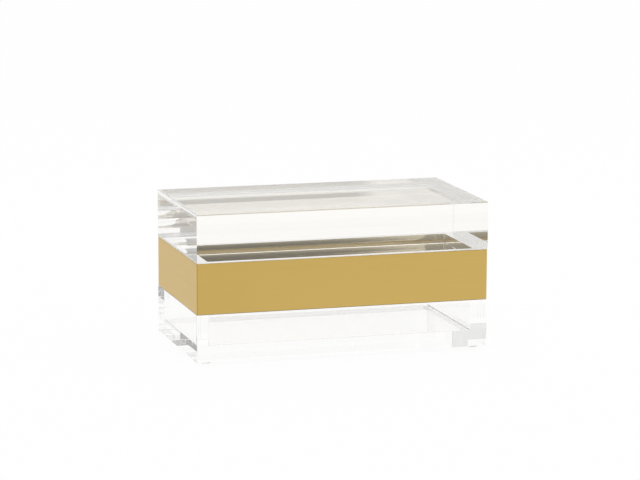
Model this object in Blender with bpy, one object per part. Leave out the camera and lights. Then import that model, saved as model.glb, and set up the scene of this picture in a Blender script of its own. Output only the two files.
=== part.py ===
"""Keepsake box: a clear acrylic tray, a brushed gold band above it, and a lift-off clear acrylic lid.

Metres, +Z up. +X runs along the length, -Y is the front. The origin is under the middle of the box,
on the surface that its four bumpers stand on.
"""
import math

import bmesh
import bpy
from mathutils import Vector

# The footprint that lid, band and tray share
LENGTH = 0.250
DEPTH = 0.1330

# Gap left wherever two pieces are glued or rest on each other
SEAT_GAP = 0.0003
# Small flat rubbed along every outer edge of the acrylic
ARRIS = 0.0004

# Lid: a thick block with a plate glued under it that drops inside the band
LID_BLOCK_HEIGHT = 0.0399
PLUG_THICKNESS = 0.0084
PLUG_CLEARANCE = 0.0003
PLUG_CORNER_RADIUS = 0.0016
PLUG_CHAMFER = 0.0006
PLUG_CORNER_STEPS = 5

# Band: a folded gold sleeve, open on its inner side, and a bare steel liner that closes it
BAND_HEIGHT = 0.0422
BAND_RIM = 0.0104
BAND_CORNER_RADIUS = 0.0016
BAND_CORNER_STEPS = 6
SLEEVE_SHEET = 0.0012
LINER_SHEET = 0.0010
LINER_CORNER_RADIUS = 0.0014
SLEEVE_INNER_RADIUS = 0.0004

# Tray: four acrylic walls glued round an acrylic floor
TRAY_HEIGHT = 0.0394
TRAY_WALL = 0.0116
TRAY_FLOOR = 0.0121

# Clear stick-on bumpers under the tray's corners
BUMPER_DIAMETER = 0.0100
BUMPER_HEIGHT = 0.0024
BUMPER_FLAT_DIAMETER = 0.0048
BUMPER_INSET = 0.0095
BUMPER_SIDES = 32
BUMPER_RINGS = 5

# How far a piece's edge may be read off its place when its edges are chosen
SAME_PLACE = 0.00001

# Heights of the stack, from the surface up
TRAY_BOTTOM = BUMPER_HEIGHT + SEAT_GAP
TRAY_TOP = TRAY_BOTTOM + TRAY_HEIGHT
BAND_BOTTOM = TRAY_TOP + SEAT_GAP
BAND_TOP = BAND_BOTTOM + BAND_HEIGHT
LID_BOTTOM = BAND_TOP + SEAT_GAP
LID_TOP = LID_BOTTOM + LID_BLOCK_HEIGHT

HALF_LENGTH = LENGTH / 2
HALF_DEPTH = DEPTH / 2


def clear_scene():
    """Remove whatever the open file holds."""
    for thing in list(bpy.data.objects):
        bpy.data.objects.remove(thing, do_unlink=True)


def make_material(name, color, roughness, metallic=0.0, transmission=0.0, ior=1.45):
    """One Principled material."""
    material = bpy.data.materials.new(name)
    material.use_nodes = True
    material.diffuse_color = (*color, 1.0 - 0.7 * transmission)
    shader = material.node_tree.nodes["Principled BSDF"]
    shader.inputs["Base Color"].default_value = (*color, 1.0)
    shader.inputs["Roughness"].default_value = roughness
    shader.inputs["Metallic"].default_value = metallic
    shader.inputs["Transmission Weight"].default_value = transmission
    shader.inputs["IOR"].default_value = ior
    return material


def clear_acrylic(name):
    """Polished clear acrylic, water white."""
    return make_material(name, (0.96, 0.97, 0.97), roughness=0.02, transmission=1.0, ior=1.49)


def brushed_gold(name):
    """Pale gold plating over a straight brushed grain."""
    return make_material(name, (0.57, 0.40, 0.13), roughness=0.35, metallic=1.0)


def bare_steel(name):
    """Unplated steel sheet with a dull shine."""
    return make_material(name, (0.52, 0.50, 0.46), roughness=0.22, metallic=1.0)


def soft_clear_plastic(name):
    """Clear soft plastic of a stick-on bumper."""
    return make_material(name, (0.93, 0.94, 0.94), roughness=0.12, transmission=1.0, ior=1.47)


def finish_object(name, bm, material, smooth_angle=None):
    """Turn a bmesh into a named object with its material."""
    bmesh.ops.recalc_face_normals(bm, faces=bm.faces)
    mesh = bpy.data.meshes.new(name)
    bm.to_mesh(mesh)
    bm.free()
    mesh.materials.append(material)
    if smooth_angle is not None:
        mesh.shade_smooth()
        mesh.set_sharp_from_angle(angle=smooth_angle)
    thing = bpy.data.objects.new(name, mesh)
    bpy.context.scene.collection.objects.link(thing)
    return thing


def make_block(name, low, high, material, rubbed_edge=None):
    """A rectangular block from corner to corner, with an arris on each edge that rubbed_edge picks."""
    low = Vector(low)
    high = Vector(high)
    bm = bmesh.new()
    bmesh.ops.create_cube(bm, size=1.0)
    bmesh.ops.scale(bm, vec=high - low, verts=bm.verts)
    bmesh.ops.translate(bm, vec=(high + low) / 2, verts=bm.verts)
    if rubbed_edge is not None:
        chosen = [edge for edge in bm.edges if rubbed_edge(edge)]
        bmesh.ops.bevel(bm, geom=chosen, offset=ARRIS, offset_type="OFFSET", segments=1, profile=0.5,
                        affect="EDGES")
    return finish_object(name, bm, material)


def both_ends_at(edge, axis, place):
    """Whether both ends of an edge lie at a place along an axis."""
    return all(abs(abs(vert.co[axis]) - abs(place)) < SAME_PLACE for vert in edge.verts)


def is_outer_corner(edge):
    """A vertical edge at a corner of the footprint."""
    return both_ends_at(edge, 0, HALF_LENGTH) and both_ends_at(edge, 1, HALF_DEPTH)


def is_outer_bottom(edge):
    """An edge that runs round the underside of the tray, at the footprint."""
    on_side = both_ends_at(edge, 0, HALF_LENGTH) or both_ends_at(edge, 1, HALF_DEPTH)
    return on_side and both_ends_at(edge, 2, TRAY_BOTTOM)


def is_outer_tray_edge(edge):
    """An edge of the tray that a hand or the table touches."""
    return is_outer_corner(edge) or is_outer_bottom(edge)


def is_any_edge(edge):
    """Every edge of a block that is polished all over."""
    return edge.is_valid


def rectangle_loop(half_x, half_y, radius, steps):
    """Points anticlockwise round a rectangle with round corners."""
    points = []
    corners = ((1, 1, 0), (-1, 1, 1), (-1, -1, 2), (1, -1, 3))
    for side_x, side_y, quarter in corners:
        centre_x = side_x * (half_x - radius)
        centre_y = side_y * (half_y - radius)
        for step in range(steps + 1):
            angle = (quarter + step / steps) * math.pi / 2
            points.append((centre_x + radius * math.cos(angle), centre_y + radius * math.sin(angle)))
    return points


def bridge(bm, first, second):
    """Quads between two rings with as many verts each."""
    count = len(first)
    for index in range(count):
        after = (index + 1) % count
        bm.faces.new((first[index], first[after], second[after], second[index]))


def make_frame(name, section, material, steps):
    """A closed frame: section lists (inset, corner radius, z) round its cross-section."""
    bm = bmesh.new()
    rings = []
    for inset, radius, z in section:
        outline = rectangle_loop(HALF_LENGTH - inset, HALF_DEPTH - inset, radius, steps)
        rings.append([bm.verts.new((x, y, z)) for x, y in outline])
    for index, ring in enumerate(rings):
        bridge(bm, ring, rings[(index + 1) % len(rings)])
    return finish_object(name, bm, material, smooth_angle=math.radians(30))


def make_stepped_plate(name, levels, material, steps):
    """A closed plate: levels lists (inset, corner radius, z) from its underside to its top."""
    bm = bmesh.new()
    rings = []
    for inset, radius, z in levels:
        outline = rectangle_loop(HALF_LENGTH - inset, HALF_DEPTH - inset, radius, steps)
        rings.append([bm.verts.new((x, y, z)) for x, y in outline])
    for lower, upper in zip(rings, rings[1:]):
        bridge(bm, lower, upper)
    bm.faces.new(rings[0][::-1])
    bm.faces.new(rings[-1])
    return finish_object(name, bm, material, smooth_angle=math.radians(30))


def make_lid():
    """The block and the plug glued under it."""
    make_block("lid_block", (-HALF_LENGTH, -HALF_DEPTH, LID_BOTTOM), (HALF_LENGTH, HALF_DEPTH, LID_TOP),
               clear_acrylic("lid_block_acrylic"), rubbed_edge=is_any_edge)
    plug_inset = BAND_RIM + PLUG_CLEARANCE
    plug_top = LID_BOTTOM - SEAT_GAP
    plug_bottom = plug_top - PLUG_THICKNESS
    levels = [
        (plug_inset + PLUG_CHAMFER, PLUG_CORNER_RADIUS, plug_bottom),
        (plug_inset, PLUG_CORNER_RADIUS + PLUG_CHAMFER, plug_bottom + PLUG_CHAMFER),
        (plug_inset, PLUG_CORNER_RADIUS + PLUG_CHAMFER, plug_top),
    ]
    make_stepped_plate("lid_plug", levels, clear_acrylic("lid_plug_acrylic"), PLUG_CORNER_STEPS)


def make_band():
    """The gold sleeve, folded in over its top and bottom, and the steel liner inside it."""
    fold_inset = BAND_RIM - LINER_SHEET - SEAT_GAP
    outer = BAND_CORNER_RADIUS
    inner = SLEEVE_INNER_RADIUS
    sleeve_section = [
        (0.0, outer, BAND_BOTTOM),
        (0.0, outer, BAND_TOP),
        (fold_inset, inner, BAND_TOP),
        (fold_inset, inner, BAND_TOP - SLEEVE_SHEET),
        (SLEEVE_SHEET, inner, BAND_TOP - SLEEVE_SHEET),
        (SLEEVE_SHEET, inner, BAND_BOTTOM + SLEEVE_SHEET),
        (fold_inset, inner, BAND_BOTTOM + SLEEVE_SHEET),
        (fold_inset, inner, BAND_BOTTOM),
    ]
    make_frame("band_sleeve", sleeve_section, brushed_gold("band_sleeve_gold"), BAND_CORNER_STEPS)
    liner_outside = BAND_RIM - LINER_SHEET
    liner_section = [
        (liner_outside, inner, BAND_BOTTOM),
        (liner_outside, inner, BAND_TOP),
        (BAND_RIM, LINER_CORNER_RADIUS, BAND_TOP),
        (BAND_RIM, LINER_CORNER_RADIUS, BAND_BOTTOM),
    ]
    make_frame("band_liner", liner_section, bare_steel("band_liner_steel"), BAND_CORNER_STEPS)


def make_tray():
    """The floor between four walls. The long walls run over the ends of the short ones."""
    inner_x = HALF_LENGTH - TRAY_WALL
    inner_y = HALF_DEPTH - TRAY_WALL
    for side, name in ((-1, "tray_front_wall"), (1, "tray_back_wall")):
        near, far = sorted((side * inner_y, side * HALF_DEPTH))
        make_block(name, (-HALF_LENGTH, near, TRAY_BOTTOM), (HALF_LENGTH, far, TRAY_TOP),
                   clear_acrylic(name + "_acrylic"), rubbed_edge=is_outer_tray_edge)
    short_half = inner_y - SEAT_GAP
    for side, name in ((-1, "tray_left_wall"), (1, "tray_right_wall")):
        near, far = sorted((side * inner_x, side * HALF_LENGTH))
        make_block(name, (near, -short_half, TRAY_BOTTOM), (far, short_half, TRAY_TOP),
                   clear_acrylic(name + "_acrylic"), rubbed_edge=is_outer_tray_edge)
    floor_x = inner_x - SEAT_GAP
    floor_y = inner_y - SEAT_GAP
    floor_top = TRAY_BOTTOM + TRAY_FLOOR
    make_block("tray_floor", (-floor_x, -floor_y, TRAY_BOTTOM), (floor_x, floor_y, floor_top),
               clear_acrylic("tray_floor_acrylic"))


def bumper_profile():
    """(radius, z) of the dome from its flat foot out to its rim and up to its glued top."""
    foot_radius = BUMPER_FLAT_DIAMETER / 2
    rim_radius = BUMPER_DIAMETER / 2
    points = []
    for ring in range(BUMPER_RINGS + 1):
        angle = ring / BUMPER_RINGS * math.pi / 2
        reach = foot_radius + (rim_radius - foot_radius) * math.sin(angle)
        points.append((reach, BUMPER_HEIGHT * (1.0 - math.cos(angle))))
    return points


def make_bumper(name, centre_x, centre_y):
    """One dome with a flat foot, turned about its upright axis."""
    bm = bmesh.new()
    rings = []
    for radius, z in bumper_profile():
        ring = []
        for side in range(BUMPER_SIDES):
            angle = side / BUMPER_SIDES * math.tau
            ring.append(bm.verts.new((radius * math.cos(angle), radius * math.sin(angle), z)))
        rings.append(ring)
    for lower, upper in zip(rings, rings[1:]):
        bridge(bm, lower, upper)
    bm.faces.new(rings[0][::-1])
    bm.faces.new(rings[-1])
    bumper = finish_object(name, bm, soft_clear_plastic(name + "_plastic"), smooth_angle=math.radians(40))
    bumper.location = (centre_x, centre_y, 0.0)
    return bumper


def make_bumpers():
    """One bumper near each corner of the tray."""
    reach_x = HALF_LENGTH - BUMPER_INSET
    reach_y = HALF_DEPTH - BUMPER_INSET
    for side_y, front_or_back in ((-1, "front"), (1, "back")):
        for side_x, left_or_right in ((-1, "left"), (1, "right")):
            make_bumper(f"bumper_{front_or_back}_{left_or_right}", side_x * reach_x, side_y * reach_y)


def main():
    clear_scene()
    make_lid()
    make_band()
    make_tray()
    make_bumpers()


main()
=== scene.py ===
"""Keepsake box in clear acrylic with a brushed gold band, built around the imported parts.

The tray's five glued plates are one clear body here, and so are the lid's two, because a good glue
joint can't be seen and light passes straight through it.
"""
import math

import bmesh
import bpy
from bpy.props import (BoolProperty, FloatProperty, FloatVectorProperty, IntProperty,
                       PointerProperty)
from mathutils import Matrix, Vector


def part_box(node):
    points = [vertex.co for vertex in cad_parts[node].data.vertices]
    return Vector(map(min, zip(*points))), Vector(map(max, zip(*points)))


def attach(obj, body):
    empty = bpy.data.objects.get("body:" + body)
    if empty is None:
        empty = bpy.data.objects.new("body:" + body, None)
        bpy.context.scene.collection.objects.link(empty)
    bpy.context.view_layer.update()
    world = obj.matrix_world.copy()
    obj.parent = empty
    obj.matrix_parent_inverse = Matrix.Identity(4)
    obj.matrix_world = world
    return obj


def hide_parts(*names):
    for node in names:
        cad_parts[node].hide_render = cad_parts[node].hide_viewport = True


bl_info = {
    "name": "Keepsake Box",
    "version": (1, 0, 0),
    "blender": (4, 5, 0),
    "location": "View3D > Sidebar > Keepsake Box",
    "description": "Clear acrylic box with a brushed gold band, a lift-off lid and clear bumpers",
    "category": "Add Mesh",
}

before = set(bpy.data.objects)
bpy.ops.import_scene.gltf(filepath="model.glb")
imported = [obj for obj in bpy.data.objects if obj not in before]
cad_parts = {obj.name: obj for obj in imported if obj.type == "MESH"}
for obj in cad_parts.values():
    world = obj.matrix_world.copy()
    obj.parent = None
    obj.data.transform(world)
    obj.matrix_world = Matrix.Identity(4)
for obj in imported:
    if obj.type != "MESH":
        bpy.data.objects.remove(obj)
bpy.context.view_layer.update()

# A millimetre, for sizes given in metres
MM = 0.001

# Faces round a quarter turn: a round that shows, a mere edge, and a clear piece's upright corner
ROUND_FACES = 4
EDGE_FACES = 2
CORNER_FACES = 6
# Faces up the plug's crowned sides
CROWN_FACES = 10

# How much of the way to the next point round a corner a groove may take
GROOVE_REACH = 0.75
# How much rounder the tray's inner corners are than the glue fillet, which has to fit in them
INNER_ROUND = 1.3

# Room between the band and the lid's underside, where the gasket lies
LID_GAP = 0.15 * MM
# Room between the gasket and the lid above it
GASKET_GAP = 0.02 * MM
# How far the strip between tray and band reaches down into the tray's walls
BOND_DEPTH = 0.03 * MM
# How far the soft strips stay back from the edges
STRIP_EDGE = 0.25 * MM
# Room between the sleeve's folded rims and the liner
RIM_GAP = 0.3 * MM
# How closely a face has to lie at a height to count as lying there
HEIGHT_SLACK = 0.01 * MM

# The upward part of a face's normal from which it slopes, and from which it lies level
SLOPED = 0.5
LEVEL = 0.9
# Edges bent more than this stay sharp on the metal and the bumpers
SHARP_ANGLE = math.radians(50)

# Most of a noise's values lie between these
NOISE_LOW = 0.3
NOISE_HIGH = 0.7
# Waves per metre in polished acrylic, in the soft strips and in the bumpers' plastic
POLISH_WAVES = (14.0, 14.0, 14.0)
STRIP_WAVES = (300.0, 300.0, 300.0)
CLOUD_WAVES = (500.0, 500.0, 500.0)
# Waves per metre along a coarse brush line
GRAIN_WAVES = 14.0
# How much of the grain's height comes from its coarse lines, which are this many times as wide
COARSE_SHARE = 0.6
COARSE_PITCH = 3
# How much a brushed metal's roughness varies either way, and a bumper's
GRAIN_ROUGHNESS = 0.12
CLOUD_ROUGHNESS = 0.4

# How far a ray points to the side where the studio starts to get darker, and where it is darkest
FLANK_START = 0.3
FLANK_END = 0.95
# Turns off the box's front over which the studio's back left gets darker, and lighter again
BACK_LEFT_IN = (math.radians(-178), math.radians(-130))
BACK_LEFT_OUT = (math.radians(-90), math.radians(-50))
# Half the soft width of the dark stretch's left, right and top edge, the top one as a sine
DARK_LEFT_EDGE = math.radians(6)
DARK_RIGHT_EDGE = math.radians(0.3)
DARK_TOP_EDGE = 0.08
# Sines of the angles up over which the dark stretch widens to the right
FLARE_FOOT = 0.172
FLARE_TOP = 0.187
# Turn off the box's front from which the dark stretch gets darker, up to straight in front
DARKEST_START = math.radians(-20)
# The lamp's width and depth, and where it hangs
LAMP_SIZE = (1.6, 1.0)
LAMP_PLACE = (0.0, 0.2, 1.8)
# How many turns light is followed through, because it stays long in the clear pieces
LIGHT_TURNS = 40


def level_color(level):
    """A neutral colour of one level."""
    return (level, level, level, 1.0)


# Mesh helpers


def rectangle_loop(half_x, half_y, radius, steps, seam=None, notch=None):
    """Points anticlockwise round a rectangle with round corners.

    seam is (place, half width, depth) of the fine grooves that cross its two ends at Y plus and
    minus place, as the glued joints of a box show. notch is (half width, depth) of the groove
    where a bent sheet's ends meet, at the front left corner.
    """
    points = []
    for side_x, side_y, quarter in ((1, 1, 0), (-1, 1, 1), (-1, -1, 2), (1, -1, 3)):
        centre_x = side_x * (half_x - radius)
        centre_y = side_y * (half_y - radius)
        for step in range(steps + 1):
            angle = (quarter + step / steps) * math.pi / 2
            turns = [(angle, radius)]
            if notch and quarter == 2 and step == steps // 2:
                # On a small inner corner the groove still keeps between the points next to it
                share = min(notch[0] / radius, GROOVE_REACH * math.pi / 2 / steps)
                turns = [(angle - share, radius), (angle, radius - notch[1]),
                         (angle + share, radius)]
            points += [(centre_x + reach * math.cos(turn), centre_y + reach * math.sin(turn))
                       for turn, reach in turns]
        if seam and side_x != side_y:
            place, half_width, depth = seam
            for y in (side_y * place, -side_y * place):
                points += [(side_x * half_x, y + side_y * half_width),
                           (side_x * (half_x - depth), y),
                           (side_x * half_x, y - side_y * half_width)]
    return points


def even(inset, radius, z):
    """A level that lies equally far in on all four sides.

    A level is (inset on X, inset on Y, corner radius, z): one ring of a body made of rings.
    """
    return (inset, inset, radius, z)


def rounded_turn(start, corner, end, steps):
    """Levels along a quarter round between two straight runs of a section.

    Each argument is a level: start and end lie where the round begins and ends, and corner where
    the runs would meet.
    """
    levels = []
    for step in range(steps + 1):
        share = step / steps
        keep = (1 - share) ** 2
        bend = 2 * share * (1 - share)
        reach = share ** 2
        levels.append(tuple(keep * a + bend * b + reach * c
                            for a, b, c in zip(start, corner, end)))
    return levels


def arris_levels(arris, z):
    """Levels up the small flat rubbed round the lower edge of an outer face."""
    return rounded_turn(even(arris, arris / 4, z), even(0.0, arris / 2, z),
                        even(0.0, arris, z + arris), EDGE_FACES)


def crowned_sides(inset, radius, foot, top, crown, steps):
    """Levels up four upright sides, of which the two long ones bulge.

    At their foot and their top the long ones lie crown further in.
    """
    levels = []
    for step in range(steps + 1):
        share = step / steps
        levels.append((inset, inset + crown * (2 * share - 1) ** 2, radius,
                       foot + (top - foot) * share))
    return levels


def add_rings(bm, levels, half_x, half_y, steps, closed_round, seam=None, notch=None):
    """Add a body made of one ring for each level along its section.

    closed_round joins the last ring to the first, for a frame. Otherwise both ends are capped.
    seam is (place, half width, depth) of the grooves across the ends of the rings that reach the
    outside. notch is (half width, depth) of a groove down the front left corner.
    """
    rings = []
    for inset_x, inset_y, radius, z in levels:
        groove = seam
        if seam and inset_x > seam[2]:
            # An inner ring keeps its count of points, but they lie flat and clear of its corners
            place = min(seam[0], half_y - inset_y - radius - 2 * seam[1])
            groove = (place, seam[1], 0.0)
        outline = rectangle_loop(half_x - inset_x, half_y - inset_y, radius, steps, groove, notch)
        rings.append([bm.verts.new((x, y, z)) for x, y in outline])
    pairs = list(zip(rings, rings[1:]))
    if closed_round:
        pairs.append((rings[-1], rings[0]))
    else:
        bm.faces.new(rings[0][::-1])
        bm.faces.new(rings[-1])
    for first, second in pairs:
        bridge_rings(bm, first, second)


def bridge_rings(bm, first, second):
    """Add the faces between two rings that have the same count of points."""
    for index in range(len(first)):
        after = (index + 1) % len(first)
        bm.faces.new((first[index], first[after], second[after], second[index]))


def finish_mesh(bm, name):
    """A mesh of what is in bm, its faces pointing outwards."""
    bmesh.ops.recalc_face_normals(bm, faces=bm.faces)
    mesh = bpy.data.meshes.new(name)
    bm.to_mesh(mesh)
    bm.free()
    return mesh


def ring_body(name, *bodies):
    """A piece made of ring bodies, each given as what add_rings takes after its mesh."""
    bm = bmesh.new()
    for body in bodies:
        add_rings(bm, *body)
    return add_piece(name, finish_mesh(bm, name))


def add_piece(name, mesh):
    """A shown object at the origin that holds a mesh."""
    piece = bpy.data.objects.new(name, mesh)
    bpy.context.scene.collection.objects.link(piece)
    return piece


def shade_smoothly(piece):
    """Smooth all but the sharp edges."""
    piece.data.shade_smooth()
    piece.data.set_sharp_from_angle(angle=SHARP_ANGLE)


def shade_by_area(piece):
    """Smooth the small rounds while the big faces stay flat."""
    shade_smoothly(piece)
    weighting = piece.modifiers.new("flat_faces_win", "WEIGHTED_NORMAL")
    weighting.mode = "FACE_AREA"
    # The largest face at a corner decides alone
    weighting.weight = 100
    weighting.keep_sharp = True


def shade_clear(piece, sharp_angle=math.radians(30), alike=10):
    """Smooth the rounds of a clear piece and leave its big faces flat.

    An edge between two faces whose areas differ more than alike times stays sharp. A long face
    whose shading leans by less than a degree at its ends already bends what shows through it.
    """
    bm = bmesh.new()
    bm.from_mesh(piece.data)
    for face in bm.faces:
        face.smooth = True
    for edge in bm.edges:
        small, large = sorted(face.calc_area() for face in edge.link_faces)
        edge.smooth = edge.calc_face_angle() < sharp_angle and large < alike * small
    bm.to_mesh(piece.data)
    bm.free()


def seat_piece(piece, body, slot, *nodes):
    """Make a piece ride on its body in place of the nodes that it stands for."""
    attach(piece, body)
    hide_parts(*nodes)


# Node helpers


def new_material(name):
    """An empty node material: (material, nodes, links, principled shader)."""
    material = bpy.data.materials.new(name)
    material.use_nodes = True
    nodes = material.node_tree.nodes
    return material, nodes, material.node_tree.links, nodes["Principled BSDF"]


def add_node(nodes, kind, **settings):
    """A node with its settings."""
    node = nodes.new(kind)
    for key, value in settings.items():
        setattr(node, key, value)
    return node


def add_math(nodes, links, operation, *values):
    """A Math node fed by sockets or plain numbers."""
    node = add_node(nodes, "ShaderNodeMath", operation=operation)
    for index, value in enumerate(values):
        if isinstance(value, bpy.types.NodeSocket):
            links.new(value, node.inputs[index])
        else:
            node.inputs[index].default_value = value
    return node.outputs[0]


def add_range(nodes, links, value, from_low, from_high, to_low, to_high, smooth=False):
    """A Map Range node between two pairs of numbers."""
    shape = "SMOOTHSTEP" if smooth else "LINEAR"
    node = add_node(nodes, "ShaderNodeMapRange", interpolation_type=shape)
    links.new(value, node.inputs["Value"])
    for socket, number in (("From Min", from_low), ("From Max", from_high),
                           ("To Min", to_low), ("To Max", to_high)):
        node.inputs[socket].default_value = number
    return node.outputs["Result"]


def add_noise(nodes, links, waves, detail, roughness=0.5):
    """Noise on Object coordinates, with its own count of waves per metre along each axis."""
    mapping = add_node(nodes, "ShaderNodeMapping")
    mapping.inputs["Scale"].default_value = waves
    links.new(add_node(nodes, "ShaderNodeTexCoord").outputs["Object"], mapping.inputs["Vector"])
    noise = add_node(nodes, "ShaderNodeTexNoise")
    noise.inputs["Scale"].default_value = 1.0
    noise.inputs["Detail"].default_value = detail
    noise.inputs["Roughness"].default_value = roughness
    links.new(mapping.outputs["Vector"], noise.inputs["Vector"])
    return noise.outputs["Fac"]


def add_bump(nodes, links, height, strength, distance):
    """A Bump node on a height."""
    bump = add_node(nodes, "ShaderNodeBump")
    bump.inputs["Strength"].default_value = strength
    bump.inputs["Distance"].default_value = distance
    links.new(height, bump.inputs["Height"])
    return bump.outputs["Normal"]


def mix_colors(nodes, links, share, first, second):
    """A colour between two colours."""
    mix = add_node(nodes, "ShaderNodeMix", data_type="RGBA")
    links.new(share, mix.inputs["Factor"])
    mix.inputs["A"].default_value = first
    mix.inputs["B"].default_value = second
    return mix.outputs["Result"]


# Sizes and finishes that a user would change


class AcrylicSettings(bpy.types.PropertyGroup):
    """Clear acrylic of the lid and the tray."""

    tint: FloatVectorProperty(
        name="Tint", description="What the tray's walls let through", subtype="COLOR", size=3,
        min=0.0, max=1.0, default=(0.999, 0.997, 0.990))
    lid_tint: FloatVectorProperty(
        name="Lid Tint", description="What the thick lid lets through", subtype="COLOR", size=3,
        min=0.0, max=1.0, default=(0.985, 0.972, 0.945))
    refraction: FloatProperty(
        name="Refraction", description="How strongly acrylic bends light", default=1.49,
        min=1.0, max=2.0)
    polish: FloatProperty(
        name="Polish", description="Roughness of the polished faces", default=0.0,
        min=0.0, max=1.0)
    seat_roughness: FloatProperty(
        name="Seat Roughness", description="How dull the lid's rubbed seat and top edges are",
        default=0.3, min=0.0, max=1.0)
    waviness: FloatProperty(
        name="Waviness", description="How far polishing leaves the faces from flat",
        default=0.004 * MM, min=0.0, unit="LENGTH")
    arris: FloatProperty(
        name="Arris", description="Small flat rubbed along each outer edge", default=0.2 * MM,
        min=0.0, unit="LENGTH")
    long_arris: FloatProperty(
        name="Long Arris", description="Wider flat along the lid's two long top edges",
        default=0.8 * MM, min=0.0, unit="LENGTH")
    plug_chamfer: FloatProperty(
        name="Plug Chamfer", description="Polished flat round the plug's underside",
        default=0.5 * MM, min=0.0, unit="LENGTH")
    plug_radius: FloatProperty(
        name="Plug Corner Radius", description="Round at the plug's corners", default=0.25 * MM,
        min=0.01 * MM, unit="LENGTH")
    plug_crown: FloatProperty(
        name="Plug Crown",
        description="How far flame polishing leaves the plug's long sides bulging",
        default=0.3 * MM, min=0.0, unit="LENGTH")
    film_sheet: FloatProperty(
        name="Film Sheet", description="Thickness of the clear film under the plug",
        default=0.25 * MM, min=0.0, unit="LENGTH")
    film_gap: FloatProperty(
        name="Film Gap", description="Air between the plug and its film", default=0.02 * MM,
        min=0.0, unit="LENGTH")
    film_layers: IntProperty(
        name="Film Layers", description="How many sheets of film lie under the plug", default=2,
        min=0, max=4)
    glue_fillet: FloatProperty(
        name="Glue Fillet", description="Round that the glue leaves in the tray's inner corners",
        default=0.5 * MM, min=0.0, unit="LENGTH")
    joint_width: FloatProperty(
        name="Joint Width", description="Half the width of the joint lines on the tray's ends",
        default=0.08 * MM, min=0.0, unit="LENGTH")
    joint_depth: FloatProperty(
        name="Joint Depth", description="Depth of the joint lines on the tray's ends",
        default=0.12 * MM, min=0.0, unit="LENGTH")
    # Pale cream of the soft strips; under the lid's rim it also stands in for the bright band of
    # reflected light there, a painted reflection
    strip_color: FloatVectorProperty(
        name="Strip Color", description="Colour of the soft strips above and below the band",
        subtype="COLOR", size=3, min=0.0, max=1.0, default=(0.93, 0.915, 0.87))
    gasket_sheet: FloatProperty(
        name="Gasket Sheet", description="Thickness of the soft strip under the lid's edge",
        default=0.1 * MM, min=0.01 * MM, max=0.12 * MM, unit="LENGTH")
    bond_sheet: FloatProperty(
        name="Bond Sheet", description="Thickness of the soft strip between tray and band",
        default=0.15 * MM, min=0.01 * MM, unit="LENGTH")


class BandSettings(bpy.types.PropertyGroup):
    """Brushed gold sleeve and bare steel liner."""

    gold: FloatVectorProperty(
        name="Gold", description="Colour of the plating", subtype="COLOR", size=3,
        min=0.0, max=1.0, default=(0.655, 0.455, 0.140))
    # The steel colour is warmer than bare steel: on top of the sheet's own grey it carries a
    # painted reflection of the gold band
    steel: FloatVectorProperty(
        name="Steel", description="Colour of the bare sheet", subtype="COLOR", size=3,
        min=0.0, max=1.0, default=(0.66, 0.595, 0.45))
    gold_roughness: FloatProperty(
        name="Gold Roughness", description="How dull the brushing leaves the gold", default=0.34,
        min=0.0, max=1.0)
    steel_roughness: FloatProperty(
        name="Steel Roughness", description="How dull the bare sheet is", default=0.08,
        min=0.0, max=1.0)
    gold_pitch: FloatProperty(
        name="Gold Pitch", description="Distance between the gold's brush lines",
        default=0.14 * MM, min=0.01 * MM, unit="LENGTH")
    steel_pitch: FloatProperty(
        name="Steel Pitch", description="Distance between the steel's rolling lines",
        default=0.28 * MM, min=0.01 * MM, unit="LENGTH")
    corner_radius: FloatProperty(
        name="Corner Radius", description="Round where the sheet bends at the box's corners",
        default=1.6 * MM, min=0.1 * MM, unit="LENGTH")
    fold_radius: FloatProperty(
        name="Fold Radius", description="Round where the sheet folds in over the rim",
        default=0.5 * MM, min=0.05 * MM, unit="LENGTH")
    sleeve_sheet: FloatProperty(
        name="Sleeve Sheet", description="Thickness of the gold sheet", default=1.2 * MM,
        min=0.1 * MM, unit="LENGTH")
    liner_sheet: FloatProperty(
        name="Liner Sheet", description="Thickness of the steel sheet", default=1.0 * MM,
        min=0.1 * MM, unit="LENGTH")
    seam_width: FloatProperty(
        name="Seam Width", description="Half the width of the line where the sheet's ends meet",
        default=0.18 * MM, min=0.01 * MM, max=0.2 * MM, unit="LENGTH")
    seam_depth: FloatProperty(
        name="Seam Depth", description="Depth of the line where the sheet's ends meet",
        default=0.35 * MM, min=0.01 * MM, max=0.35 * MM, unit="LENGTH")
    corner_steps: IntProperty(
        name="Corner Steps", description="Faces round each upright corner", default=10,
        min=2, max=64)


class BumperSettings(bpy.types.PropertyGroup):
    """Clear stick-on bumpers."""

    flat_diameter: FloatProperty(
        name="Flat Diameter", description="Width of the flat that a bumper stands on",
        default=4.8 * MM, min=0.1 * MM, unit="LENGTH")
    tint: FloatVectorProperty(
        name="Tint", description="What the soft plastic lets through", subtype="COLOR", size=3,
        min=0.0, max=1.0, default=(0.95, 0.955, 0.955))
    refraction: FloatProperty(
        name="Refraction", description="How strongly the soft plastic bends light", default=1.47,
        min=1.0, max=2.0)
    roughness: FloatProperty(
        name="Roughness", description="How dull the soft plastic is", default=0.06,
        min=0.0, max=1.0)
    sides: IntProperty(
        name="Sides", description="Faces round a bumper", default=64, min=8, max=256)
    rings: IntProperty(
        name="Rings", description="Faces from its flat to its rim", default=14, min=2, max=64)


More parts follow.
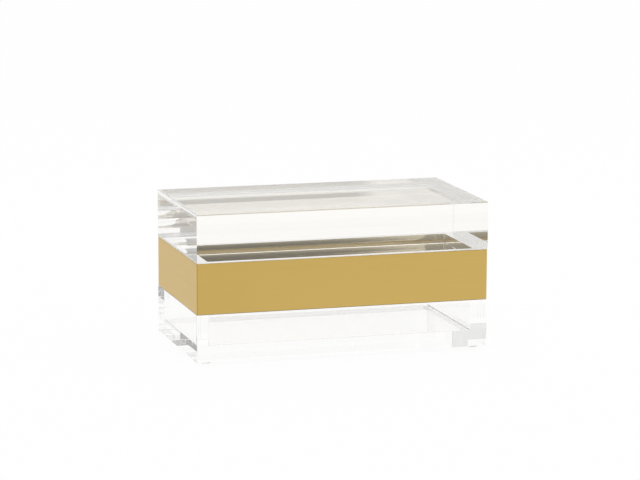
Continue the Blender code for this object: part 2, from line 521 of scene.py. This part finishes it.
class StudioSettings(bpy.types.PropertyGroup):
    """Camera, floor and light."""

    camera_place: FloatVectorProperty(
        name="Camera Place", description="Where the camera stands", subtype="TRANSLATION", size=3,
        unit="LENGTH", default=(-0.693320, -2.285131, 0.522674))
    camera_turn: FloatProperty(
        name="Camera Turn", description="Turn of the view about the upright", subtype="ANGLE",
        default=math.radians(-16.85861))
    camera_tilt: FloatProperty(
        name="Camera Tilt", description="How far the view looks down", subtype="ANGLE",
        default=math.radians(10.343895))
    camera_roll: FloatProperty(
        name="Camera Roll", description="How far the view leans", subtype="ANGLE",
        default=math.radians(0.267227))
    focal_length: FloatProperty(
        name="Focal Length", description="Focal length on a 36 mm wide sensor, in millimetres",
        default=162.0810, min=1.0)
    floor_size: FloatProperty(
        name="Floor Size", description="Side of the floor", default=12.0, min=1.0, unit="LENGTH")
    floor_glow: FloatProperty(
        name="Floor Glow", description="How much of the floor's white doesn't need light",
        default=0.96, min=0.0, max=1.0)
    floor_color: FloatProperty(
        name="Floor Color", description="Grey level of the floor where it only lights the box",
        default=0.85, min=0.0, max=1.0)
    dark_level: FloatProperty(
        name="Dark Level", description="Brightness of the low dark stretch behind the camera",
        default=0.2, min=0.0, max=2.0)
    dark_left_level: FloatProperty(
        name="Dark Left Level", description="Brightness at that stretch's left end", default=0.42,
        min=0.0, max=2.0)
    dark_left: FloatProperty(
        name="Dark Left",
        description="Where the dark stretch ends on the left, off the box's front",
        subtype="ANGLE", default=math.radians(-30))
    dark_right: FloatProperty(
        name="Dark Right",
        description="Where the dark stretch ends on the right, off the box's front",
        subtype="ANGLE", default=math.radians(17.8))
    dark_flare: FloatProperty(
        name="Dark Flare",
        description="How much further right the dark stretch reaches a little higher up",
        subtype="ANGLE", default=math.radians(0.9))
    dark_top: FloatProperty(
        name="Dark Top", description="How high the dark stretch reaches, as the sine of the angle",
        default=0.34, min=0.0, max=1.0)
    side_level: FloatProperty(
        name="Side Level", description="Brightness of the studio to the left and right",
        default=0.6, min=0.0, max=2.0)
    back_left_level: FloatProperty(
        name="Back Left Level",
        description="Further dimming of the studio behind the box on the left",
        default=0.5, min=0.0, max=1.0)
    lamp_power: FloatProperty(
        name="Lamp Power", description="Power of the soft lamp overhead", default=6.0, min=0.0,
        unit="POWER")
    show_floor: BoolProperty(name="Show Floor", description="Lay the floor", default=True)


# Materials


def acrylic_material(settings, name, tint, roughness):
    """Clear acrylic with the faint waviness that polishing leaves."""
    material, nodes, links, shader = new_material(name)
    shader.inputs["Base Color"].default_value = (*tint, 1.0)
    shader.inputs["Transmission Weight"].default_value = 1.0
    shader.inputs["IOR"].default_value = settings.refraction
    shader.inputs["Roughness"].default_value = roughness
    height = add_noise(nodes, links, POLISH_WAVES, detail=1.0)
    bump = add_bump(nodes, links, height, strength=1.0, distance=settings.waviness)
    links.new(bump, shader.inputs["Normal"])
    return material


def grain_height(nodes, links, pitch):
    """Brush lines round the box: they run level on the sides and along the rim on its top."""
    across = 1.0 / pitch
    coarse = add_noise(nodes, links, (GRAIN_WAVES, GRAIN_WAVES, across / COARSE_PITCH),
                       detail=3.0, roughness=0.65)
    along = GRAIN_WAVES * COARSE_PITCH
    fine = add_noise(nodes, links, (along, along, across), detail=2.0, roughness=0.6)
    fine_part = add_math(nodes, links, "MULTIPLY", fine, 1 - COARSE_SHARE)
    return add_math(nodes, links, "MULTIPLY_ADD", coarse, COARSE_SHARE, fine_part)


def metal_material(name, color, roughness, pitch, contrast, bump_height):
    """Brushed metal: the lines change its colour, its dullness and its height a little."""
    material, nodes, links, shader = new_material(name)
    grain = grain_height(nodes, links, pitch)
    darker = tuple(channel * (1.0 - contrast) for channel in color) + (1.0,)
    lighter = tuple(min(1.0, channel * (1.0 + contrast)) for channel in color) + (1.0,)
    spread = add_range(nodes, links, grain, NOISE_LOW, NOISE_HIGH, 0.0, 1.0)
    links.new(mix_colors(nodes, links, spread, darker, lighter), shader.inputs["Base Color"])
    dullness = add_range(nodes, links, grain, NOISE_LOW, NOISE_HIGH,
                         roughness * (1 + GRAIN_ROUGHNESS), roughness * (1 - GRAIN_ROUGHNESS))
    links.new(dullness, shader.inputs["Roughness"])
    bump = add_bump(nodes, links, grain, strength=0.5, distance=bump_height)
    links.new(bump, shader.inputs["Normal"])
    shader.inputs["Metallic"].default_value = 1.0
    shader.inputs["Anisotropic"].default_value = 0.4
    return material


def strip_material(name, color, contrast=0.02):
    """Thin pale soft strip, a little uneven. Under the lid's rim its pale colour is partly a
    painted reflection.
    """
    material, nodes, links, shader = new_material(name)
    mottle = add_noise(nodes, links, STRIP_WAVES, detail=3.0)
    darker = tuple(channel * (1.0 - contrast) for channel in color) + (1.0,)
    links.new(mix_colors(nodes, links, mottle, darker, (*color, 1.0)),
              shader.inputs["Base Color"])
    shader.inputs["Roughness"].default_value = 0.8
    shader.inputs["Specular IOR Level"].default_value = 0.2
    return material


def bumper_material(settings):
    """Soft clear plastic, a little cloudy."""
    material, nodes, links, shader = new_material("bumper_plastic")
    shader.inputs["Base Color"].default_value = (*settings.tint, 1.0)
    shader.inputs["Transmission Weight"].default_value = 1.0
    shader.inputs["IOR"].default_value = settings.refraction
    cloud = add_noise(nodes, links, CLOUD_WAVES, detail=2.0)
    dullness = add_range(nodes, links, cloud, NOISE_LOW, NOISE_HIGH,
                         settings.roughness * (1 - CLOUD_ROUGHNESS),
                         settings.roughness * (1 + CLOUD_ROUGHNESS))
    links.new(dullness, shader.inputs["Roughness"])
    return material


# Operators


def make_strip(name, body, material, half_x, half_y, width, foot, top):
    """Make a thin soft frame that lies on a rim of this width and stays back from its edges."""
    inner = width - STRIP_EDGE
    levels = [even(STRIP_EDGE, STRIP_EDGE, foot), even(STRIP_EDGE, STRIP_EDGE, top),
              even(inner, STRIP_EDGE, top), even(inner, STRIP_EDGE, foot)]
    strip = ring_body(name, (levels, half_x, half_y, EDGE_FACES, True))
    strip.data.materials.append(material)
    seat_piece(strip, body, "bumper_plastic")


class KEEPSAKE_OT_make_lid(bpy.types.Operator):
    """Make the thick clear lid and the plug under it as one clear body"""

    bl_idname = "keepsake.make_lid"
    bl_label = "Make Lid"

    def execute(self, context):
        settings = context.scene.keepsake_acrylic
        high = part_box("lid_block")[1]
        plug_low, plug_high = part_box("lid_plug")
        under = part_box("band_sleeve")[1].z + LID_GAP
        plug_inset = high.x - plug_high.x
        layer = settings.film_sheet + settings.film_gap
        plug_under = plug_low.z + settings.film_layers * layer
        levels = self.plug_levels(settings, plug_inset, plug_under, under)
        levels += arris_levels(settings.arris, under)
        levels += self.top_levels(settings, high.z)
        bodies = [(levels, high.x, high.y, CORNER_FACES, False)]
        film_inset = plug_inset + 2 * settings.plug_chamfer
        for index in range(settings.film_layers):
            foot = plug_low.z + index * layer
            film = [even(film_inset, settings.plug_radius, z)
                    for z in (foot, foot + settings.film_sheet)]
            bodies.append((film, high.x, high.y, CORNER_FACES, False))
        lid = ring_body("lid_clear", *bodies)
        shade_clear(lid)
        self.finish_faces(lid.data, settings, under, high.z - settings.long_arris)
        seat_piece(lid, "lid", "clear_acrylic", "lid_block", "lid_plug")
        # Pale cream gasket under the lid's rim: its colour is partly a painted reflection, standing
        # in for the bright band of reflected light along the rim
        gasket_top = under - GASKET_GAP
        make_strip("lid_gasket_and_reflection", "lid", strip_material("gasket_and_painted_reflection", settings.strip_color),
                   high.x, high.y, plug_inset, gasket_top - settings.gasket_sheet, gasket_top)
        return {"FINISHED"}

    def plug_levels(self, settings, inset, foot, top):
        """Levels up the plug, from the chamfer round its underside."""
        chamfer = settings.plug_chamfer
        corner = settings.plug_radius
        crown = settings.plug_crown
        # The chamfer's corner is sharper than the plug's, but never quite a point
        sharp = max(corner - chamfer, corner / 8)
        levels = rounded_turn((inset + chamfer, inset + crown + chamfer, sharp, foot),
                              (inset, inset + crown, corner, foot),
                              (inset, inset + crown, corner, foot + chamfer), ROUND_FACES)[:-1]
        return levels + crowned_sides(inset, corner, foot + chamfer, top, crown, CROWN_FACES)

    def top_levels(self, settings, top):
        """Levels up to the lid's top: a wide flat on the long edges, a small one on the short."""
        arris = settings.arris
        wide = settings.long_arris
        return [even(0.0, arris, top - wide), (0.0, wide - arris, arris, top - arris),
                (arris, wide, arris / 4, top)]

    def finish_faces(self, mesh, settings, under, rubbed_foot):
        """Polish the lid, but leave its seat under the rim and the flats above rubbed_foot dull."""
        mesh.materials.append(acrylic_material(
            settings, "lid_acrylic", settings.lid_tint, settings.polish))
        mesh.materials.append(acrylic_material(
            settings, "rubbed_acrylic", settings.lid_tint, settings.seat_roughness))
        for face in mesh.polygons:
            up = face.normal.z
            seat = up < -LEVEL and abs(face.center.z - under) < HEIGHT_SLACK
            top_edge = SLOPED < up < LEVEL and face.center.z > rubbed_foot
            face.material_index = 1 if seat or top_edge else 0


class KEEPSAKE_OT_make_tray(bpy.types.Operator):
    """Make the clear tray as one clear body, and the strip that bonds the band to it"""

    bl_idname = "keepsake.make_tray"
    bl_label = "Make Tray"

    def execute(self, context):
        settings = context.scene.keepsake_acrylic
        low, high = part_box("tray_front_wall")
        floor_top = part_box("tray_floor")[1].z
        wall = high.y - low.y
        fillet = settings.glue_fillet
        inner = fillet * INNER_ROUND
        levels = arris_levels(settings.arris, low.z)
        levels += [even(0.0, settings.arris, high.z), even(wall, inner, high.z)]
        levels += rounded_turn(even(wall, inner, floor_top + fillet), even(wall, inner, floor_top),
                               even(wall + fillet, inner - fillet, floor_top), ROUND_FACES)
        joint = (-high.y, settings.joint_width, settings.joint_depth)
        tray = ring_body("tray_clear", (levels, high.x, -low.y, CORNER_FACES, False, joint))
        shade_clear(tray)
        tray.data.materials.append(acrylic_material(
            settings, "clear_acrylic", settings.tint, settings.polish))
        seat_piece(tray, "box", "clear_acrylic", "tray_floor", "tray_front_wall",
                   "tray_back_wall", "tray_left_wall", "tray_right_wall")
        foot = high.z - BOND_DEPTH
        make_strip("tray_bond", "box", strip_material("bond_strip", settings.strip_color),
                   high.x, -low.y, wall, foot, foot + settings.bond_sheet)
        return {"FINISHED"}


class KEEPSAKE_OT_make_sleeve(bpy.types.Operator):
    """Make the brushed gold sleeve, folded in over its rims"""

    bl_idname = "keepsake.make_sleeve"
    bl_label = "Make Sleeve"

    def execute(self, context):
        settings = context.scene.keepsake_band
        low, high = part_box("band_sleeve")
        rim = high.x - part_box("band_liner")[1].x - RIM_GAP
        sheet = settings.sleeve_sheet
        corner = settings.corner_radius
        fold = settings.fold_radius
        levels = rounded_turn(even(fold, corner - fold, low.z), even(0.0, corner, low.z),
                              even(0.0, corner, low.z + fold), ROUND_FACES)
        levels += rounded_turn(even(0.0, corner, high.z - fold), even(0.0, corner, high.z),
                               even(fold, corner - fold, high.z), ROUND_FACES)
        inner = corner / 4
        levels += [even(rim, inner, high.z), even(rim, inner, high.z - sheet),
                   even(sheet, inner, high.z - sheet), even(sheet, inner, low.z + sheet),
                   even(rim, inner, low.z + sheet), even(rim, inner, low.z)]
        notch = (settings.seam_width, settings.seam_depth)
        sleeve = ring_body("band_gold", (levels, high.x, high.y, settings.corner_steps, True,
                                         None, notch))
        shade_by_area(sleeve)
        sleeve.data.materials.append(metal_material(
            "brushed_gold", settings.gold, settings.gold_roughness, settings.gold_pitch,
            contrast=0.03, bump_height=0.005 * MM))
        seat_piece(sleeve, "box", "brushed_gold", "band_sleeve")
        return {"FINISHED"}


class KEEPSAKE_OT_make_liner(bpy.types.Operator):
    """Make the bare steel sheet inside the band"""

    bl_idname = "keepsake.make_liner"
    bl_label = "Make Liner"

    def execute(self, context):
        settings = context.scene.keepsake_band
        low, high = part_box("band_liner")
        sheet = settings.liner_sheet
        inner = settings.corner_radius
        # The liner's outer corners fill the sleeve's inner ones
        outer = inner / 4
        levels = [even(0.0, outer, low.z), even(0.0, outer, high.z),
                  even(sheet, inner, high.z), even(sheet, inner, low.z)]
        liner = ring_body("band_steel", (levels, high.x, high.y, settings.corner_steps, True))
        shade_by_area(liner)
        # The liner's warm tint is a painted reflection of the gold band, on top of the steel's own
        # grey
        liner.data.materials.append(metal_material(
            "bare_steel", settings.steel, settings.steel_roughness, settings.steel_pitch,
            contrast=0.01, bump_height=0.0005 * MM))
        seat_piece(liner, "box", "bare_steel", "band_liner")
        return {"FINISHED"}


def bumper_mesh(settings, diameter, height):
    """One dome about the upright through the origin, its flat foot at z 0."""
    bm = bmesh.new()
    foot = settings.flat_diameter / 2
    rim = diameter / 2
    turns = [side / settings.sides * math.tau for side in range(settings.sides)]
    rings = []
    for ring in range(settings.rings + 1):
        angle = ring / settings.rings * math.pi / 2
        radius = foot + (rim - foot) * math.sin(angle)
        z = height * (1.0 - math.cos(angle))
        rings.append([bm.verts.new((radius * math.cos(turn), radius * math.sin(turn), z))
                      for turn in turns])
    for lower, upper in zip(rings, rings[1:]):
        bridge_rings(bm, lower, upper)
    bm.faces.new(rings[0][::-1])
    bm.faces.new(rings[-1])
    return finish_mesh(bm, "bumper_dome")


def corner_tree(name):
    """Geometry nodes that put a piece on the four corners of a rectangle."""
    tree = bpy.data.node_groups.new(name, "GeometryNodeTree")
    for socket, kind in (("Geometry", "NodeSocketGeometry"), ("Spacing X", "NodeSocketFloat"),
                         ("Spacing Y", "NodeSocketFloat"), ("Material", "NodeSocketMaterial")):
        tree.interface.new_socket(socket, in_out="INPUT", socket_type=kind)
    tree.interface.new_socket("Geometry", in_out="OUTPUT", socket_type="NodeSocketGeometry")
    group_in = tree.nodes.new("NodeGroupInput")
    group_out = tree.nodes.new("NodeGroupOutput")
    grid = tree.nodes.new("GeometryNodeMeshGrid")
    grid.inputs["Vertices X"].default_value = 2
    grid.inputs["Vertices Y"].default_value = 2
    place = tree.nodes.new("GeometryNodeInstanceOnPoints")
    realize = tree.nodes.new("GeometryNodeRealizeInstances")
    paint = tree.nodes.new("GeometryNodeSetMaterial")
    link = tree.links.new
    link(group_in.outputs["Spacing X"], grid.inputs["Size X"])
    link(group_in.outputs["Spacing Y"], grid.inputs["Size Y"])
    link(grid.outputs["Mesh"], place.inputs["Points"])
    link(group_in.outputs["Geometry"], place.inputs["Instance"])
    link(place.outputs["Instances"], realize.inputs["Geometry"])
    link(realize.outputs["Geometry"], paint.inputs["Geometry"])
    link(group_in.outputs["Material"], paint.inputs["Material"])
    link(paint.outputs["Geometry"], group_out.inputs["Geometry"])
    return tree


def set_tree_input(modifier, name, value):
    """Set a geometry nodes modifier's input by the identifier of the socket that has this name."""
    for item in modifier.node_group.interface.items_tree:
        if item.item_type == "SOCKET" and item.in_out == "INPUT" and item.name == name:
            modifier[item.identifier] = value
            return
    raise ValueError(f"the tree has no input named {name}")


def freeze(piece):
    """Turn an evaluated piece into a plain mesh without modifiers."""
    graph = bpy.context.evaluated_depsgraph_get()
    mesh = bpy.data.meshes.new_from_object(piece.evaluated_get(graph), depsgraph=graph)
    piece.modifiers.clear()
    piece.data = mesh
    piece.data.name = piece.name


class KEEPSAKE_OT_make_bumpers(bpy.types.Operator):
    """Make the four clear bumpers"""

    bl_idname = "keepsake.make_bumpers"
    bl_label = "Make Bumpers"

    def execute(self, context):
        settings = context.scene.keepsake_bumpers
        low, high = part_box("bumper_back_right")
        centre = (low + high) / 2
        bumpers = add_piece("bumpers", bumper_mesh(settings, high.x - low.x, high.z - low.z))
        layout = bumpers.modifiers.new("corners", "NODES")
        layout.node_group = corner_tree("bumper_corners")
        set_tree_input(layout, "Spacing X", 2 * centre.x)
        set_tree_input(layout, "Spacing Y", 2 * centre.y)
        set_tree_input(layout, "Material", bumper_material(settings))
        freeze(bumpers)
        shade_smoothly(bumpers)
        seat_piece(bumpers, "box", "bumper_plastic", "bumper_front_left", "bumper_front_right",
                   "bumper_back_left", "bumper_back_right")
        return {"FINISHED"}


def studio_ray(nodes, links):
    """1 for the rays that see the white ground: the camera's, and what metal and glass send on."""
    path = add_node(nodes, "ShaderNodeLightPath")
    seen = add_math(nodes, links, "MAXIMUM", path.outputs["Is Camera Ray"],
                    path.outputs["Is Glossy Ray"])
    return add_math(nodes, links, "MAXIMUM", seen, path.outputs["Is Transmission Ray"])


def floor_material(settings):
    """Pale floor that looks white where it is lit and keeps the box's faint shadow."""
    material = bpy.data.materials.new("pale_floor")
    material.use_nodes = True
    nodes, links = material.node_tree.nodes, material.node_tree.links
    nodes.clear()
    output = add_node(nodes, "ShaderNodeOutputMaterial")
    matt = add_node(nodes, "ShaderNodeBsdfDiffuse")
    matt.inputs["Color"].default_value = level_color(1.0 - settings.floor_glow)
    glow = add_node(nodes, "ShaderNodeEmission")
    glow.inputs["Color"].default_value = level_color(1.0)
    ray = studio_ray(nodes, links)
    links.new(add_math(nodes, links, "MULTIPLY", ray, settings.floor_glow),
              glow.inputs["Strength"])
    both = add_node(nodes, "ShaderNodeAddShader")
    links.new(matt.outputs[0], both.inputs[0])
    links.new(glow.outputs[0], both.inputs[1])
    plain = add_node(nodes, "ShaderNodeBsdfDiffuse")
    plain.inputs["Color"].default_value = level_color(settings.floor_color)
    choose = add_node(nodes, "ShaderNodeMixShader")
    links.new(ray, choose.inputs["Fac"])
    links.new(plain.outputs[0], choose.inputs[1])
    links.new(both.outputs[0], choose.inputs[2])
    links.new(choose.outputs[0], output.inputs["Surface"])
    return material


def make_floor(settings):
    """A flat floor under the bumpers."""
    half = settings.floor_size / 2
    mesh = bpy.data.meshes.new("floor")
    corners = [(-half, -half, 0.0), (half, -half, 0.0), (half, half, 0.0), (-half, half, 0.0)]
    mesh.from_pydata(corners, [], [(0, 1, 2, 3)])
    floor = add_piece("floor", mesh)
    mesh.materials.append(floor_material(settings))


def side_light(nodes, links, settings, flank, turn):
    """The studio's level all round: darker to the sides, and darker still at the back left."""
    sides = add_range(nodes, links, flank, FLANK_START, FLANK_END, 1.0, settings.side_level)
    into_left = add_range(nodes, links, turn, *BACK_LEFT_IN, 0.0, 1.0, smooth=True)
    out_of_left = add_range(nodes, links, turn, *BACK_LEFT_OUT, 1.0, 0.0, smooth=True)
    left = add_math(nodes, links, "MULTIPLY", into_left, out_of_left)
    dimming = add_range(nodes, links, left, 0.0, 1.0, 1.0, settings.back_left_level)
    return add_math(nodes, links, "MULTIPLY", sides, dimming)


def dark_stretch(nodes, links, settings, turn, height):
    """How much of the light is missing in the low dark stretch behind the camera."""
    from_left = add_range(nodes, links, turn, settings.dark_left - DARK_LEFT_EDGE,
                          settings.dark_left + DARK_LEFT_EDGE, 0.0, 1.0, smooth=True)
    flare = add_range(nodes, links, height, FLARE_FOOT, FLARE_TOP, 0.0, settings.dark_flare)
    to_right = add_range(nodes, links, add_math(nodes, links, "SUBTRACT", turn, flare),
                         settings.dark_right - DARK_RIGHT_EDGE,
                         settings.dark_right + DARK_RIGHT_EDGE, 1.0, 0.0, smooth=True)
    below = add_range(nodes, links, height, settings.dark_top - DARK_TOP_EDGE,
                      settings.dark_top + DARK_TOP_EDGE, 1.0, 0.0, smooth=True)
    wide = add_math(nodes, links, "MULTIPLY", from_left, to_right)
    dark = add_math(nodes, links, "MULTIPLY", wide, below)
    depth = add_range(nodes, links, turn, DARKEST_START, 0.0, 1.0 - settings.dark_left_level,
                      1.0 - settings.dark_level)
    return add_math(nodes, links, "MULTIPLY", dark, depth)


def make_world(settings):
    """A white studio, darker to the sides, at the back left and low down behind the camera.

    The camera itself sees plain white.
    """
    world = bpy.data.worlds.new("studio")
    bpy.context.scene.world = world
    world.use_nodes = True
    nodes, links = world.node_tree.nodes, world.node_tree.links
    nodes.clear()
    output = add_node(nodes, "ShaderNodeOutputWorld")
    background = add_node(nodes, "ShaderNodeBackground")
    direction = add_node(nodes, "ShaderNodeTexCoord").outputs["Generated"]
    split = add_node(nodes, "ShaderNodeSeparateXYZ")
    links.new(direction, split.inputs["Vector"])
    flank = add_math(nodes, links, "ABSOLUTE", split.outputs["X"])
    forward = add_math(nodes, links, "MULTIPLY", split.outputs["Y"], -1.0)
    turn = add_math(nodes, links, "ARCTAN2", split.outputs["X"], forward)
    loss = dark_stretch(nodes, links, settings, turn, split.outputs["Z"])
    level = add_math(nodes, links, "MULTIPLY", side_light(nodes, links, settings, flank, turn),
                     add_math(nodes, links, "SUBTRACT", 1.0, loss))
    path = add_node(nodes, "ShaderNodeLightPath")
    seen = add_math(nodes, links, "MAXIMUM", level, path.outputs["Is Camera Ray"])
    background.inputs["Color"].default_value = level_color(1.0)
    links.new(seen, background.inputs["Strength"])
    links.new(background.outputs[0], output.inputs["Surface"])


def make_lamp(settings):
    """One wide soft lamp overhead."""
    lamp = bpy.data.lights.new("overhead_lamp", "AREA")
    lamp.shape = "RECTANGLE"
    lamp.size, lamp.size_y = LAMP_SIZE
    lamp.energy = settings.lamp_power
    thing = bpy.data.objects.new("overhead_lamp", lamp)
    thing.location = LAMP_PLACE
    bpy.context.scene.collection.objects.link(thing)


def make_camera(settings):
    """The camera at the photograph's angle."""
    lens = bpy.data.cameras.new("camera")
    lens.sensor_width = 36.0
    lens.lens = settings.focal_length
    lens.clip_start = 0.01
    lens.clip_end = 100.0
    camera = bpy.data.objects.new("camera", lens)
    turn = Matrix.Rotation(settings.camera_turn, 4, "Z")
    tilt = Matrix.Rotation(math.pi / 2 - settings.camera_tilt, 4, "X")
    roll = Matrix.Rotation(settings.camera_roll, 4, "Z")
    camera.matrix_world = Matrix.Translation(Vector(settings.camera_place)) @ turn @ tilt @ roll
    bpy.context.scene.collection.objects.link(camera)
    bpy.context.scene.camera = camera


class KEEPSAKE_OT_make_stage(bpy.types.Operator):
    """Set the camera, the pale floor, the white studio and the lamp"""

    bl_idname = "keepsake.make_stage"
    bl_label = "Make Stage"

    def execute(self, context):
        settings = context.scene.keepsake_studio
        make_camera(settings)
        if settings.show_floor:
            make_floor(settings)
        make_world(settings)
        make_lamp(settings)
        scene = context.scene
        scene.view_settings.view_transform = "Standard"
        scene.cycles.max_bounces = LIGHT_TURNS
        scene.cycles.transmission_bounces = LIGHT_TURNS
        scene.cycles.glossy_bounces = LIGHT_TURNS
        return {"FINISHED"}


class KEEPSAKE_PT_panel(bpy.types.Panel):
    """Sidebar panel that lists the box's settings and operators"""

    bl_idname = "KEEPSAKE_PT_panel"
    bl_label = "Keepsake Box"
    bl_space_type = "VIEW_3D"
    bl_region_type = "UI"
    bl_category = "Keepsake Box"

    def draw(self, context):
        layout = self.layout
        for group in SETTINGS:
            settings = getattr(context.scene, group)
            box = layout.box()
            box.label(text=settings.bl_rna.name)
            for key in settings.bl_rna.properties.keys():
                if key not in ("rna_type", "name"):
                    box.prop(settings, key)
        for operator in OPERATORS:
            layout.operator(operator.bl_idname)


SETTINGS = {
    "keepsake_acrylic": AcrylicSettings,
    "keepsake_band": BandSettings,
    "keepsake_bumpers": BumperSettings,
    "keepsake_studio": StudioSettings,
}
OPERATORS = (
    KEEPSAKE_OT_make_stage,
    KEEPSAKE_OT_make_tray,
    KEEPSAKE_OT_make_bumpers,
    KEEPSAKE_OT_make_liner,
    KEEPSAKE_OT_make_sleeve,
    KEEPSAKE_OT_make_lid,
)


def register():
    """Add the classes and hang the settings on the scene."""
    for group, settings in SETTINGS.items():
        bpy.utils.register_class(settings)
        setattr(bpy.types.Scene, group, PointerProperty(type=settings))
    for operator in OPERATORS:
        bpy.utils.register_class(operator)
    bpy.utils.register_class(KEEPSAKE_PT_panel)


def unregister():
    """Take the classes and settings away again."""
    bpy.utils.unregister_class(KEEPSAKE_PT_panel)
    for operator in reversed(OPERATORS):
        bpy.utils.unregister_class(operator)
    for group, settings in SETTINGS.items():
        delattr(bpy.types.Scene, group)
        bpy.utils.unregister_class(settings)


def main():
    """Make the stage and every piece."""
    register()
    for operator in OPERATORS:
        group, name = operator.bl_idname.split(".")
        getattr(getattr(bpy.ops, group), name)()


if __name__ == "__main__":
    main()
